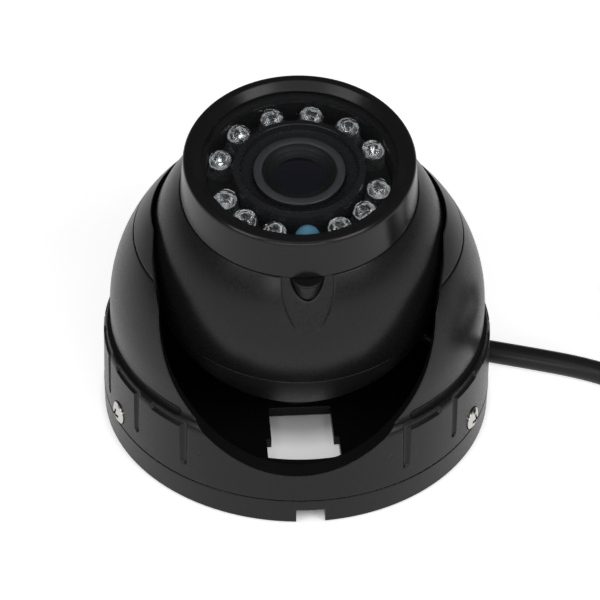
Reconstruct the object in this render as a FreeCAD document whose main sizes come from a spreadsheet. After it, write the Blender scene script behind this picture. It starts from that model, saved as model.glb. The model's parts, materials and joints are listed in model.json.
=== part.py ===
import FreeCAD, Part
import math
import os
import Sketcher

# Surface-mounted dome camera with an eyeball: a cast base ring, a dome cover with a
# round crown opening that runs down into a front slot, and between them a ball that
# carries the lens, the infrared lamps and their window.
#
# Frame: millimetres, +Z up, origin at the centre of the underside, the front is -Y.
# Pieces of the ball are drawn in the ball's own frame (origin at the ball's centre,
# its Z along the lens axis) and leaned forward by their Placement.

DIMENSIONS = {
    # base
    "base_radius": 47.0, "rim_top": 7.0, "rim_wall": 4.0, "rim_chamfer": 0.6,
    "floor_under": 1.0, "floor_top": 3.6, "spigot_inset": 3.7, "spigot_wall": 3.7,
    "spigot_top": 13.4, "clamp_groove_depth": 2.1, "clamp_groove_width": 3.6,
    "base_turn": 4.8, "mount_turn": 60.0, "mount_circle_radius": 34.0, "mount_hole_radius": 2.2,
    "mount_boss_radius": 4.6, "mount_boss_height": 1.2, "mount_count": 3,
    "stem_width": 15.0, "stem_start": 10.6, "cross_width": 17.4, "cross_start": 21.6,
    "cross_end": 33.6, "notch_width": 6.8, "notch_height": 4.2, "notch_inner_radius": 38.0,
    "exit_x": 45.3, "exit_y": 12.8, "exit_turn": -13.0, "exit_width": 8.4, "exit_height": 6.5,
    "exit_depth": 20.0, "trench_foot": 0.1, "trench_floor": 1.1, "trench_wall": 1.5,
    "seal_groove_inset": 1.6, "seal_groove_width": 1.5,
    "seal_depth": 0.5, "seal_height": 0.65, "seal_gap": 0.1,
    # cover
    "cover_gap": 0.25, "cover_inset": 0.05, "band_top": 21.9, "band_draft": 0.4,
    "band_round": 2.5, "dome_step": 2.15, "shoulder_z": 29.1,
    "shoulder_radius": 39.5, "cover_wall": 2.4, "crown_lap": 1.4, "fit_gap": 0.3,
    "slot_radius": 31.5, "slot_z": 46.2, "slot_flare": 33.3, "slot_flare_z": 52.6,
    "groove_offset": 0.4, "groove_z": 24.85, "groove_nose": 1.0, "groove_stop": 37.0,
    "screw_turn": 63.6, "screw_z": 10.3, "screw_seat_inset": 0.95, "seat_gap": 0.2,
    "channel_nose": 1.15, "channel_depth": 0.65, "channel_rise": 22.0, "channel_foot_z": 12.0,
    "channel_first": 33.4, "channel_pitch": 19.3, "channel_length": 12.0, "channel_count": 6,
    "channel_lean": 3.0, "dimple_turn": 28.3, "dimple_z": 16.2, "dimple_depth": 0.35,
    # trim at the crown opening
    "trim_width": 4.4, "trim_depth": 1.1, "trim_start": 56.0, "trim_gap": 0.1,
    # ball
    "ball_radius": 35.6, "ball_height": 43.1, "ball_lean": 10.5, "ball_turn": 4.5,
    "ball_wall": 2.6, "parting": -5.0, "parting_gap": 0.15, "rear_step": 0.3,
    "shoulder_top": 22.6, "neck_radius": 24.6, "neck_top": 28.8, "neck_bore": 21.4,
    "board_ledge": 19.5, "board_seat": 22.0, "lap_height": 3.4, "lap_wall": 1.9,
    "pillar_circle": 25.8, "well_radius": 3.9, "well_wall": 1.1, "screw_floor": 3.0,
    "screw_grip": 8.0, "bore_spare": 2.0, "web_foot": 14.8,
    "pocket_circle": 28.0, "pocket_radius": 5.9, "pocket_wall": 1.5, "pocket_foot": 9.2,
    "pocket_foot_radius": 35.0, "pocket_slope": 58.0,
    "lead_hole_radius": 3.4, "lead_hole_turn": 129.4, "lead_hole_drop": 134.4,
    # hood and window
    "hood_foot_radius": 27.3, "hood_lip_radius": 26.5, "hood_top": 33.1, "hood_round": 1.2,
    "hood_mouth_radius": 24.3, "hood_throat_radius": 22.3, "hood_edge": 0.4,
    "hood_thread_gap": 0.3, "window_radius": 24.1, "window_foot": 29.6, "window_thickness": 1.6,
    # optics and boards
    "led_circle": 18.5, "led_radius": 2.5, "led_flange_radius": 2.75, "led_flange": 1.0,
    "led_tip": 29.3, "led_front_pitch": 23.5, "led_rear_pitch": 28.5, "sensor_radius": 2.9,
    "led_board_radius": 21.0, "led_board_bore": 13.2, "board_thickness": 1.2,
    "shield_radius": 15.2, "shield_top": 29.4, "shield_mouth": 10.7, "shield_throat_z": 27.0,
    "shield_tube": 12.9, "shield_foot": 20.0, "barrel_radius": 9.9, "barrel_top": 28.5,
    "barrel_foot": 24.6, "barrel_neck_radius": 7.2, "lens_radius": 6.7, "lens_seat": 26.2, "lens_rise": 1.2,
    "thread_radius": 6.0, "thread_foot": 9.4, "thread_top": 17.0, "holder_radius": 8.2,
    "holder_side": 16.0, "holder_base": 3.2, "board_side": 34.0, "sensor_board_z": 6.0,
    "standoff_offset": 12.0, "standoff_radius": 2.2,
    # screws
    "screw_radius": 1.5, "screw_gap": 0.1, "head_radius": 2.75, "head_height": 2.0,
    "head_crown": 4.6, "recess_width": 0.8, "recess_length": 3.0, "recess_depth": 1.2,
    "small_screw_radius": 1.0, "small_head_radius": 1.9, "small_head_height": 1.2,
    # cable, pads and plug
    "cable_radius": 2.8, "cable_lift": 0.25, "lead_radius": 1.8, "gland_depth": 6.0,
    "pad_radius": 9.4, "pad_top_radius": 8.6, "coil_radius": 29.0, "coil_lead_in": 10.0,
    "tie_width": 6.0, "tie_turn": 150.0, "tail_radius": 30.5, "plug_radius": 6.6,
    "plug_length": 30.0, "plug_turn": 5.0, "nut_radius": 7.6, "grip_count": 18, "pin_count": 4,
}

doc = FreeCAD.newDocument("dome_camera")
sheet = doc.addObject("Spreadsheet::Sheet", "Sizes")
for row, (word, number) in enumerate(DIMENSIONS.items(), start=1):
    sheet.set("A%d" % row, word)
    sheet.set("B%d" % row, str(number))
    sheet.setAlias("B%d" % row, word)
doc.recompute()


class Size:
    """A length or angle: its number now, and the sheet formula that drives it."""

    def __init__(self, number, text):
        self.number = float(number)
        self.text = text

    def join(self, other, sign, number):
        return Size(number, "(%s %s %s)" % (self.text, sign, other.text))

    def __add__(self, other):
        other = fixed(other)
        return self.join(other, "+", self.number + other.number)

    def __sub__(self, other):
        other = fixed(other)
        return self.join(other, "-", self.number - other.number)

    def __mul__(self, other):
        other = fixed(other)
        return self.join(other, "*", self.number * other.number)

    def __truediv__(self, other):
        other = fixed(other)
        return self.join(other, "/", self.number / other.number)

    def __neg__(self):
        return fixed(0) - self

    __radd__ = __add__
    __rmul__ = __mul__


def fixed(value):
    """A plain number as a Size, or the Size itself."""
    return value if isinstance(value, Size) else Size(value, repr(float(value)))


def root(size):
    return Size(math.sqrt(size.number), "sqrt(%s)" % size.text)


def cosine(size):
    return Size(math.cos(math.radians(size.number)), "cos(%s)" % size.text)


def sine(size):
    return Size(math.sin(math.radians(size.number)), "sin(%s)" % size.text)


def on_circle(radius, centre, other, other_centre):
    """The coordinate past centre where a circle reaches the other coordinate."""
    run = other - other_centre
    return centre + root(radius * radius - run * run)


D = {word: Size(number, "Sizes." + word) for word, number in DIMENSIONS.items()}
# Sizes that follow from others, so that mating pieces grow together.
D["rim_inner_radius"] = D["base_radius"] - D["rim_wall"]
D["spigot_radius"] = D["base_radius"] - D["spigot_inset"]
D["spigot_inner_radius"] = D["spigot_radius"] - D["spigot_wall"]
D["clamp_groove_radius"] = D["spigot_radius"] - D["clamp_groove_depth"]
D["seal_groove_outer"] = D["base_radius"] - D["seal_groove_inset"]
D["seal_groove_inner"] = D["seal_groove_outer"] - D["seal_groove_width"]
D["cover_radius"] = D["base_radius"] - D["cover_inset"]
D["band_top_radius"] = D["cover_radius"] - D["band_draft"]
D["dome_radius"] = D["cover_radius"] - D["dome_step"]
D["groove_radius"] = D["dome_radius"] + D["groove_offset"]
D["screw_seat_radius"] = D["cover_radius"] - D["screw_seat_inset"]
D["crown_radius"] = D["ball_radius"] - D["crown_lap"]
D["trim_outer_radius"] = D["crown_radius"] + D["trim_width"]
D["pillar_radius"] = D["well_radius"] + D["well_wall"]
D["web_top"] = D["board_seat"] - D["ball_wall"] - 0.4
HALF_TURN = 180
VECTOR = FreeCAD.Vector


def bind(item, **sizes):
    """Drive properties from the sheet; __ in a name stands for the dot of a path."""
    for name, size in sizes.items():
        item.setExpression(name.replace("__", "."), fixed(size).text)
    return item


def place(item, x=0, y=0, z=0, axis=None, angle=0):
    """Drive an object's Placement from the sheet."""
    bind(item, Placement__Base__x=x, Placement__Base__y=y, Placement__Base__z=z)
    if axis is not None:
        item.Placement = FreeCAD.Placement(VECTOR(), FreeCAD.Rotation(VECTOR(*axis), 1.0))
        bind(item, Placement__Rotation__Angle=angle)
    return item


# ---------------------------------------------------------------- sketches

def draw_outline(sketch, outline):
    """Draw a closed outline of (x, y) corners; a third value is the radius of the arc
    that leads to that corner, positive where it bulges to the left of the way there."""
    corners = [tuple(fixed(value) for value in corner[:2]) for corner in outline]
    points = [VECTOR(x.number, y.number, 0) for x, y in corners]
    count = len(points)
    for index in range(count):
        start, end = points[index], points[(index + 1) % count]
        step = outline[(index + 1) % count]
        if len(step) == 3:
            radius = fixed(step[2])
            reach = abs(radius.number)
            half = (end - start).Length / 2
            lift = reach - math.sqrt(max(reach * reach - half * half, 0))
            along = (end - start).normalize()
            left = VECTOR(-along.y, along.x, 0) * math.copysign(1, radius.number)
            middle = (start + end) / 2 + left * lift
            sketch.addGeometry(Part.Arc(start, middle, end), False)
        else:
            sketch.addGeometry(Part.LineSegment(start, end), False)
    # A sketch counts an arc's ends anticlockwise, so an arc run clockwise is met end first.
    ends = []
    for index in range(count):
        step = outline[(index + 1) % count]
        clockwise = len(step) == 3 and fixed(step[2]).number > 0
        ends.append((2, 1) if clockwise else (1, 2))
    for index in range(count):
        after = (index + 1) % count
        sketch.addConstraint(Sketcher.Constraint("Coincident", index, ends[index][1],
                                                 after, ends[after][0]))
    for index, (x, y) in enumerate(corners):
        for name, size, axis in (("DistanceX", x, -2), ("DistanceY", y, -1)):
            if size.number == 0:
                sketch.addConstraint(Sketcher.Constraint("PointOnObject", index,
                                                         ends[index][0], axis))
                continue
            number = sketch.addConstraint(Sketcher.Constraint(name, -1, 1, index,
                                                              ends[index][0], size.number))
            if "Sizes" in size.text:
                sketch.setExpression("Constraints[%d]" % number, size.text)
    for index in range(count):
        step = outline[(index + 1) % count]
        if len(step) == 3:
            radius = fixed(step[2])
            number = sketch.addConstraint(Sketcher.Constraint("Radius", index,
                                                              abs(radius.number)))
            if "Sizes" in radius.text:
                sketch.setExpression("Constraints[%d]" % number, "abs(%s)" % radius.text)


def new_sketch(body, role, outline):
    sketch = body.newObject("Sketcher::SketchObject", "Sketch")
    plane = next(item for item in body.Origin.OriginFeatures if item.Role == role)
    sketch.AttachmentSupport = [(plane, "")]
    sketch.MapMode = "FlatFace"
    draw_outline(sketch, outline)
    return sketch


def new_body(name):
    return doc.addObject("PartDesign::Body", name)


def turned(name, outline):
    """A body turned about Z from an outline of (radius, height) corners."""
    body = new_body(name)
    sketch = new_sketch(body, "XZ_Plane", outline)
    feature = body.newObject("PartDesign::Revolution", "Revolution")
    feature.Profile = sketch
    feature.ReferenceAxis = (sketch, ["V_Axis"])
    feature.Angle = 360
    return body


def raised(name, outline, height, foot=0):
    """A body padded up Z from an outline in X and Y."""
    body = new_body(name)
    sketch = new_sketch(body, "XY_Plane", outline)
    sketch.setExpression("AttachmentOffset.Base.z", fixed(foot).text)
    feature = body.newObject("PartDesign::Pad", "Pad")
    feature.Profile = sketch
    bind(feature, Length=height)
    return body


# ---------------------------------------------------------------- primitives and booleans

def cylinder(name, radius, height, **where):
    item = bind(doc.addObject("Part::Cylinder", name), Radius=radius, Height=height)
    return place(item, **where)


def box(name, length, width, height, **where):
    item = bind(doc.addObject("Part::Box", name), Length=length, Width=width, Height=height)
    return place(item, **where)


def fuse(name, items):
    item = doc.addObject("Part::MultiFuse", name)
    item.Shapes = items
    return item


def group(name, items):
    item = doc.addObject("Part::Compound", name)
    item.Links = items
    return item


def cut(name, base, tool):
    item = doc.addObject("Part::Cut", name)
    item.Base = base
    item.Tool = tool
    return item


def common(name, items):
    item = doc.addObject("Part::MultiCommon", name)
    item.Shapes = items
    return item


def lean_with_ball(item):
    """Put a piece drawn in the ball's frame where the leaned ball holds it."""
    return place(item, z=D["ball_height"], axis=(1, 0, 0), angle=D["ball_lean"])


def around(radius, turn):
    """Where a feature sits: turn is counted from the front, towards +X."""
    return {"x": radius * sine(turn), "y": -(radius * cosine(turn))}


def turn_about_z(name, item, turn):
    """A copy holder that turns a tool about the Z axis; turn is counted from the front."""
    holder = group(name, [item])
    return place(holder, axis=(0, 0, 1), angle=turn)


# ---------------------------------------------------------------- base

def make_base_plate():
    groove_foot = D["screw_z"] - D["clamp_groove_width"] / 2
    plate = turned("base_casting", [
        (0, D["floor_under"]), (D["rim_inner_radius"], D["floor_under"]),
        (D["rim_inner_radius"], 0), (D["base_radius"] - D["rim_chamfer"], 0),
        (D["base_radius"], D["rim_chamfer"]), (D["base_radius"], D["rim_top"]),
        (D["seal_groove_outer"], D["rim_top"]),
        (D["seal_groove_outer"], D["rim_top"] - D["seal_depth"]),
        (D["seal_groove_inner"], D["rim_top"] - D["seal_depth"]),
        (D["seal_groove_inner"], D["rim_top"]), (D["spigot_radius"], D["rim_top"]),
        (D["spigot_radius"], groove_foot), (D["clamp_groove_radius"], groove_foot),
        (D["clamp_groove_radius"], groove_foot + D["clamp_groove_width"]),
        (D["spigot_radius"], groove_foot + D["clamp_groove_width"]),
        (D["spigot_radius"], D["spigot_top"]), (D["spigot_inner_radius"], D["spigot_top"]),
        (D["spigot_inner_radius"], D["floor_top"]), (0, D["floor_top"])])
    bosses, holes = [], []
    for index in range(DIMENSIONS["mount_count"]):
        turn = D["base_turn"] + D["mount_turn"] + fixed(360.0 * index) / D["mount_count"]
        spot = around(D["mount_circle_radius"], turn)
        bosses.append(cylinder("mount_boss", D["mount_boss_radius"], D["mount_boss_height"],
                               z=D["floor_top"], **spot))
        holes.append(cylinder("mount_hole", D["mount_hole_radius"],
                              D["floor_top"] + D["mount_boss_height"], z=0, **spot))
    half_stem, half_cross = D["stem_width"] / 2, D["cross_width"] / 2
    slot = raised("cable_slot", [
        (-half_stem, -D["stem_start"]), (-half_stem, -D["cross_start"]),
        (-half_cross, -D["cross_start"]), (-half_cross, -D["cross_end"]),
        (half_cross, -D["cross_end"]), (half_cross, -D["cross_start"]),
        (half_stem, -D["cross_start"]), (half_stem, -D["stem_start"])], D["floor_top"])
    place(slot, axis=(0, 0, 1), angle=D["base_turn"])
    notch = box("front_notch", D["notch_width"], D["base_radius"], D["notch_height"],
                x=-(D["notch_width"] / 2), y=-(D["notch_inner_radius"] + D["base_radius"]))
    notch = turn_about_z("turned_notch", notch, D["base_turn"])
    solid = fuse("base_with_bosses", [plate, exit_trough()] + bosses)
    return cut("base_plate", solid, fuse("base_cuts", holes + [slot, notch, exit_trench()]))


def at_exit(name, items):
    """Put pieces drawn along X, with the rim at x = 0, where the cable leaves."""
    return place(group(name, items), x=D["exit_x"], y=D["exit_y"], axis=(0, 0, 1),
                 angle=D["exit_turn"])


def exit_trough():
    """The closed underside of the trench, inward of the gland."""
    start, width = D["gland_depth"] + D["trench_wall"], D["exit_width"] + D["trench_wall"] * 2
    slab = box("trough_slab", D["exit_depth"] + D["trench_wall"] - start, width,
               D["trench_floor"] - D["trench_foot"], x=-(D["exit_depth"] + D["trench_wall"]),
               y=-(width / 2), z=D["trench_foot"])
    return at_exit("placed_trough", [slab])


def exit_trench():
    """The notch through the rim for the gland, and the trench the lead runs in."""
    half, depth = D["exit_width"] / 2, D["gland_depth"] + D["trench_wall"]
    notch = box("exit_notch", depth * 2, D["exit_width"], D["exit_height"], x=-depth, y=-half)
    trench = box("exit_trench", D["exit_depth"], D["exit_width"],
                 D["exit_height"] - D["trench_floor"], x=-D["exit_depth"], y=-half,
                 z=D["trench_floor"])
    return at_exit("placed_trench", [fuse("exit_cuts", [notch, trench])])


def make_cover_seal():
    foot = D["rim_top"] - D["seal_depth"]
    return turned("cover_seal", [
        (D["seal_groove_inner"] + D["seal_gap"], foot),
        (D["seal_groove_outer"] - D["seal_gap"], foot),
        (D["seal_groove_outer"] - D["seal_gap"], foot + D["seal_height"]),
        (D["seal_groove_inner"] + D["seal_gap"], foot + D["seal_height"])])


def make_ball_pad():
    """A rubber cup that the ball rests on; it holds the aim by friction."""
    reach = D["ball_radius"] + D["fit_gap"]
    lip = D["ball_height"] - root(reach * reach - D["pad_top_radius"] * D["pad_top_radius"])
    return turned("ball_pad", [
        (0, D["floor_top"]), (D["pad_radius"], D["floor_top"]), (D["pad_top_radius"], lip),
        (0, D["ball_height"] - reach, reach)])


# ---------------------------------------------------------------- cover

def shoulder_at(radius, depth):
    """Height of the dome's shoulder at a radius, depth below its outer face."""
    centre = D["dome_radius"] - D["shoulder_radius"]
    return on_circle(D["shoulder_radius"] - depth, D["shoulder_z"], radius, centre)


def make_cover_shell():
    bore = D["spigot_radius"] + D["fit_gap"]
    inner = D["dome_radius"] - D["cover_wall"]
    foot = D["rim_top"] + D["cover_gap"]
    step = D["spigot_top"] + 1.0
    outer_arc, inner_arc = D["shoulder_radius"], D["shoulder_radius"] - D["cover_wall"]
    band_edge = on_circle(D["band_round"], D["band_top"], D["dome_radius"],
                          D["band_top_radius"] - D["band_round"])
    return turned("cover_shell", [
        (bore, foot), (D["cover_radius"], foot), (D["band_top_radius"], D["band_top"]),
        (D["dome_radius"], band_edge, -D["band_round"]), (D["dome_radius"], D["shoulder_z"]),
        (D["crown_radius"], shoulder_at(D["crown_radius"], fixed(0)), -outer_arc),
        (D["crown_radius"], shoulder_at(D["crown_radius"], D["cover_wall"])),
        (inner, D["shoulder_z"], inner_arc), (inner, step), (bore, step)])


def make_slot():
    """The front slot: a round foot that flares a little up to the crown opening."""
    body = new_body("slot_tool")
    top = D["shoulder_z"] + D["shoulder_radius"]
    sketch = new_sketch(body, "XZ_Plane", [
        (-D["slot_radius"], D["slot_z"]), (0, D["slot_z"] - D["slot_radius"], -D["slot_radius"]),
        (D["slot_radius"], D["slot_z"], -D["slot_radius"]),
        (D["slot_flare"], D["slot_flare_z"]), (D["slot_flare"], top),
        (-D["slot_flare"], top), (-D["slot_flare"], D["slot_flare_z"])])
    pad = body.newObject("PartDesign::Pad", "Pad")
    pad.Profile = sketch
    bind(pad, Length=D["base_radius"] + 4)
    return body


def ball_nose(name, radius, turn, z):
    """A spherical end for the grooves of the band; turn is counted from the front."""
    nose = bind(doc.addObject("Part::Sphere", name), Radius=D["channel_nose"])
    return place(nose, z=z, **around(radius, turn))


def ring_groove(name, radius, z, nose, start, sweep):
    """A round-nosed groove along the band from one turn to another, anticlockwise."""
    ring = bind(doc.addObject("Part::Torus", name), Radius1=radius, Radius2=nose, Angle3=sweep)
    return place(ring, z=z, axis=(0, 0, 1), angle=start - 90)


def make_channel(turn, side):
    """One L-shaped channel of the band: a leg, and an arm that runs away from the front
    along the band's rounded top edge."""
    nose, lean = D["channel_nose"], D["channel_lean"]
    lift = D["band_round"] - D["channel_depth"] + nose
    arm_reach = D["band_top_radius"] - D["band_round"] + lift * cosine(D["channel_rise"])
    arm_z = D["band_top"] + lift * sine(D["channel_rise"])
    length = arm_z - D["channel_foot_z"]
    foot_reach = arm_reach + length * sine(lean) / cosine(lean)
    leg = cylinder("channel_leg", nose, length / cosine(lean), y=-foot_reach,
                   z=D["channel_foot_z"], axis=(1, 0, 0), angle=-lean)
    leg = turn_about_z("turned_leg", leg, turn * side)
    corner, tip = turn * side, (turn + D["channel_length"]) * side
    arm = ring_groove("channel_arm", arm_reach, arm_z, nose, corner if side > 0 else tip,
                      D["channel_length"])
    channel = fuse("channel", [
        leg, arm, ball_nose("channel_corner", arm_reach, corner, arm_z),
        ball_nose("channel_tip", arm_reach, tip, arm_z),
        ball_nose("channel_foot", foot_reach, corner, D["channel_foot_z"])])
    channel.Refine = False
    return channel


def make_dome_cover():
    seat = bind(doc.addObject("Part::Sphere", "ball_seat"), Radius=D["ball_radius"] + D["fit_gap"])
    place(seat, z=D["ball_height"])
    tools = [make_slot(), seat,
             trim_ring("trim_rebate", fixed(-1), D["trim_depth"], fixed(0))]
    for turn in (-D["screw_turn"], D["screw_turn"], fixed(HALF_TURN)):
        hole = cylinder("screw_hole", D["screw_radius"] + D["screw_gap"], D["base_radius"],
                        z=D["screw_z"], axis=(1, 0, 0), angle=90)
        spot = cylinder("screw_spot", D["head_radius"] + D["seat_gap"], D["base_radius"],
                        y=-D["screw_seat_radius"], z=D["screw_z"], axis=(1, 0, 0), angle=90)
        tools.append(turn_about_z("turned_screw_hole", fuse("screw_hole_pair", [hole, spot]), turn))
    cover = cut("plain_cover", make_cover_shell(), fuse("cover_cuts", tools))
    marks = [make_ledge_groove()]
    for index in range(DIMENSIONS["channel_count"]):
        turn = D["channel_first"] + D["channel_pitch"] * index
        marks += [make_channel(turn, side) for side in (-1, 1)]
    dimple_reach = D["cover_radius"] - D["dimple_depth"] + D["channel_nose"]
    for turn in (-D["dimple_turn"], D["dimple_turn"]):
        marks.append(ball_nose("dimple", dimple_reach, turn, D["dimple_z"]))
    for mark in marks:
        cover = cut("dome_cover" if mark is marks[-1] else "marked_cover", cover, mark)
    return cover


def make_ledge_groove():
    """The groove between dome and band; it stops on each side of the slot."""
    ring = ring_groove("ledge_ring", D["groove_radius"], D["groove_z"], D["groove_nose"],
                       D["groove_stop"], fixed(2 * HALF_TURN) - D["groove_stop"] * 2)
    ends = []
    for turn in (-D["groove_stop"], D["groove_stop"]):
        end = bind(doc.addObject("Part::Sphere", "groove_end"), Radius=D["groove_nose"])
        ends.append(place(end, z=D["groove_z"], **around(D["groove_radius"], turn)))
    return fuse("ledge_groove", [ring] + ends)


def trim_ring(name, outer_depth, inner_depth, gap):
    """The C-shaped strip of the dome's own surface round the crown opening."""
    inner, outer = D["crown_radius"] + gap, D["trim_outer_radius"] - gap
    body = new_body(name)
    sketch = new_sketch(body, "XZ_Plane", [
        (inner, shoulder_at(inner, inner_depth)),
        (outer, shoulder_at(outer, inner_depth), D["shoulder_radius"] - inner_depth),
        (outer, shoulder_at(outer, outer_depth)),
        (inner, shoulder_at(inner, outer_depth), outer_depth - D["shoulder_radius"])])
    feature = body.newObject("PartDesign::Revolution", "Revolution")
    feature.Profile = sketch
    feature.ReferenceAxis = (sketch, ["V_Axis"])
    bind(feature, Angle=fixed(2 * HALF_TURN) - D["trim_start"] * 2 - gap)
    return place(body, axis=(0, 0, 1), angle=D["trim_start"] - 90 + gap / 2)


def make_opening_trim():
    """A matt rubber strip let into the crown rim; it wipes the ball."""
    strip = trim_ring("trim_strip", fixed(0), D["trim_depth"] - 0.02, D["trim_gap"])
    return cut("opening_trim", strip, make_slot())


# ---------------------------------------------------------------- screws

def pan_screw(name, radius, length, head_radius, head_height):
    """A pan-head screw that points down its own Z from the head's seat at z = 0."""
    crown = bind(doc.addObject("Part::Sphere", "head_crown"), Radius=D["head_crown"])
    place(crown, z=head_height - D["head_crown"])
    head = common("head", [cylinder("head_blank", head_radius, head_height), crown])
    shank = cylinder("shank", radius, length, z=-length)
    recess = [box("recess_bar", D["recess_length"], D["recess_width"], D["recess_depth"] + 1,
                  x=-(D["recess_length"] / 2), y=-(D["recess_width"] / 2),
                  z=head_height - D["recess_depth"]),
              box("recess_bar", D["recess_width"], D["recess_length"], D["recess_depth"] + 1,
                  x=-(D["recess_width"] / 2), y=-(D["recess_length"] / 2),
                  z=head_height - D["recess_depth"])]
    return cut(name, fuse("screw_blank", [head, shank]), fuse("recess", recess))


def make_cover_screws():
    screws = []
    length = D["screw_seat_radius"] - D["clamp_groove_radius"] - 0.3
    for turn in (-D["screw_turn"], D["screw_turn"], fixed(HALF_TURN)):
        screw = pan_screw("cover_screw", D["screw_radius"], length, D["head_radius"],
                          D["head_height"])
        place(screw, y=-D["screw_seat_radius"], z=D["screw_z"], axis=(1, 0, 0), angle=90)
        screws.append(turn_about_z("turned_screw", screw, turn))
    return group("cover_screws", screws)


# ---------------------------------------------------------------- ball

def make_front_shell():
    reach, inner = D["ball_radius"], D["ball_radius"] - D["ball_wall"]
    lap_top = D["parting"] + D["lap_height"]
    lap_radius = inner + 0.6
    seat_r = on_circle(reach, fixed(0), D["shoulder_top"], fixed(0))
    web_foot, web_top = D["web_foot"], D["web_top"]
    outer_skin = turned("front_skin", [
        (0, D["parting"]), (on_circle(reach, fixed(0), D["parting"], fixed(0)), D["parting"]),
        (seat_r, D["shoulder_top"], -reach), (D["neck_radius"], D["shoulder_top"]),
        (D["neck_radius"], D["neck_top"]), (0, D["neck_top"])])
    cavity = turned("front_cavity", [
        (0, D["parting"] - 1), (lap_radius, D["parting"] - 1), (lap_radius, lap_top),
        (on_circle(inner, fixed(0), lap_top, fixed(0)), lap_top),
        (on_circle(inner, fixed(0), web_foot, fixed(0)), web_foot, -inner),
        (D["board_ledge"], web_top), (D["board_ledge"], D["board_seat"]),
        (D["neck_bore"], D["board_seat"]), (D["neck_bore"], D["neck_top"] + 1),
        (0, D["neck_top"] + 1)])
    solids, hollows = [], []
    for turn in (D["ball_turn"], D["ball_turn"] + HALF_TURN):
        spot = around(D["pillar_circle"], turn)
        foot = lap_top + 0.1
        solids.append(cylinder("pillar", D["pillar_radius"], web_top - foot, z=foot, **spot))
        solids.append(pocket_tool("pocket_wall", turn, D["pocket_wall"], web_top))
        hollows.append(pocket_tool("pocket", turn, fixed(0), D["shoulder_top"]))
        hollows.append(cylinder("pillar_bore", D["screw_radius"] + D["screw_gap"],
                                D["screw_floor"] - D["parting"], z=D["parting"], **spot))
        hollows.append(cylinder("screw_well", D["well_radius"],
                                D["shoulder_top"] - D["screw_floor"], z=D["screw_floor"], **spot))
    hollow = cut("front_hollow", cavity, fuse("front_pillars", solids))
    return cut("ball_front_shell", outer_skin, fuse("front_cuts", [hollow] + hollows))


def pocket_tool(name, turn, grow, top):
    """The recess over a shell screw: a notch along the ball's axis whose floor slopes
    with the skin; grow makes the same shape bigger all round."""
    radius, slope = D["pocket_radius"] + grow, D["pocket_slope"]
    notch = cylinder(name + "_notch", radius, top, y=-D["pocket_circle"])
    slab = box(name + "_slab", radius * 2, D["ball_radius"], D["ball_radius"], x=-radius,
               y=grow * sine(slope) - D["pocket_foot_radius"],
               z=D["pocket_foot"] - grow * cosine(slope), axis=(1, 0, 0), angle=slope)
    return turn_about_z(name + "_turned", common(name, [notch, slab]), turn)


def make_rear_shell():
    reach = D["ball_radius"] - D["rear_step"]
    inner = reach - D["ball_wall"] + 0.2
    top = D["parting"] - D["parting_gap"]
    lap_radius = D["ball_radius"] - D["ball_wall"] + 0.6 - 0.25
    lap_inner = lap_radius - D["lap_wall"]
    lap_top = D["parting"] + D["lap_height"] - 0.2
    shell = turned("rear_skin", [
        (0, -reach), (on_circle(reach, fixed(0), top, fixed(0)), top, -reach),
        (lap_radius, top), (lap_radius, lap_top - 2.2), (lap_radius - 0.9, lap_top - 2.2),
        (lap_radius - 0.9, lap_top - 0.8), (lap_radius, lap_top - 0.8), (lap_radius, lap_top),
        (lap_inner, lap_top), (lap_inner, -on_circle(inner, fixed(0), lap_inner, fixed(0))),
        (0, -inner, inner)])
    pillars, bores = [], []
    bore_foot = D["parting"] - D["screw_grip"] - D["bore_spare"]
    for turn in (D["ball_turn"], D["ball_turn"] + HALF_TURN):
        spot = around(D["pillar_circle"], turn)
        pillars.append(cylinder("rear_post", D["pillar_radius"] - 0.2,
                                lap_top + D["ball_radius"], z=-D["ball_radius"], **spot))
        bores.append(cylinder("rear_bore", D["screw_radius"] + 0.05,
                              lap_top - bore_foot, z=bore_foot, **spot))
    core = bind(doc.addObject("Part::Sphere", "rear_core"), Radius=reach - 0.5)
    posts = common("rear_posts", [fuse("rear_post_pair", pillars), core])
    bores.append(lead_bore("lead_hole", D["lead_hole_radius"]))
    return cut("ball_rear_shell", fuse("rear_with_posts", [shell, posts]),
               fuse("rear_cuts", bores))


def lead_bore(name, radius, start=20, length=20):
    """A cylinder along the ball's radius through the hole where the lead comes in."""
    item = cylinder(name, radius, fixed(length), z=fixed(start))
    item = place(group(name + "_tilted", [item]), axis=(1, 0, 0), angle=D["lead_hole_drop"])
    return place(group(name + "_turned", [item]), axis=(0, 0, 1), angle=D["lead_hole_turn"])


def make_shell_seal():
    seal = bind(doc.addObject("Part::Torus", "seal_ring"),
                Radius1=D["ball_radius"] - D["ball_wall"] + 0.6 - 0.6, Radius2=fixed(0.5))
    height = D["parting"] + D["lap_height"] - 0.2 - 1.5
    return group("shell_seal", [place(seal, z=height)])


def make_shell_screws():
    screws = []
    for turn in (D["ball_turn"], D["ball_turn"] + HALF_TURN):
        length = D["screw_floor"] - D["parting"] + D["screw_grip"]
        screw = pan_screw("shell_screw", D["screw_radius"], length, D["head_radius"],
                          D["head_height"])
        place(screw, z=D["screw_floor"], **around(D["pillar_circle"], turn))
        screws.append(screw)
    return group("shell_screws", screws)


def make_ball_grommet():
    """A rubber sleeve that seals the lead where it enters the ball."""
    outer, bore = D["lead_hole_radius"] - 0.05, D["lead_radius"] + 0.1
    reach = D["ball_radius"] - D["rear_step"]
    length = D["ball_wall"] + 1.2
    ring = cut("grommet_ring", cylinder("grommet_blank", outer, length),
               cylinder("grommet_bore", bore, length))
    item = place(group("grommet_out", [ring]), z=reach - length - 0.1)
    item = place(group("grommet_tilted", [item]), axis=(1, 0, 0), angle=D["lead_hole_drop"])
    return group("ball_grommet", [place(group("grommet_turned", [item]), axis=(0, 0, 1),
                                        angle=D["lead_hole_turn"])])


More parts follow.
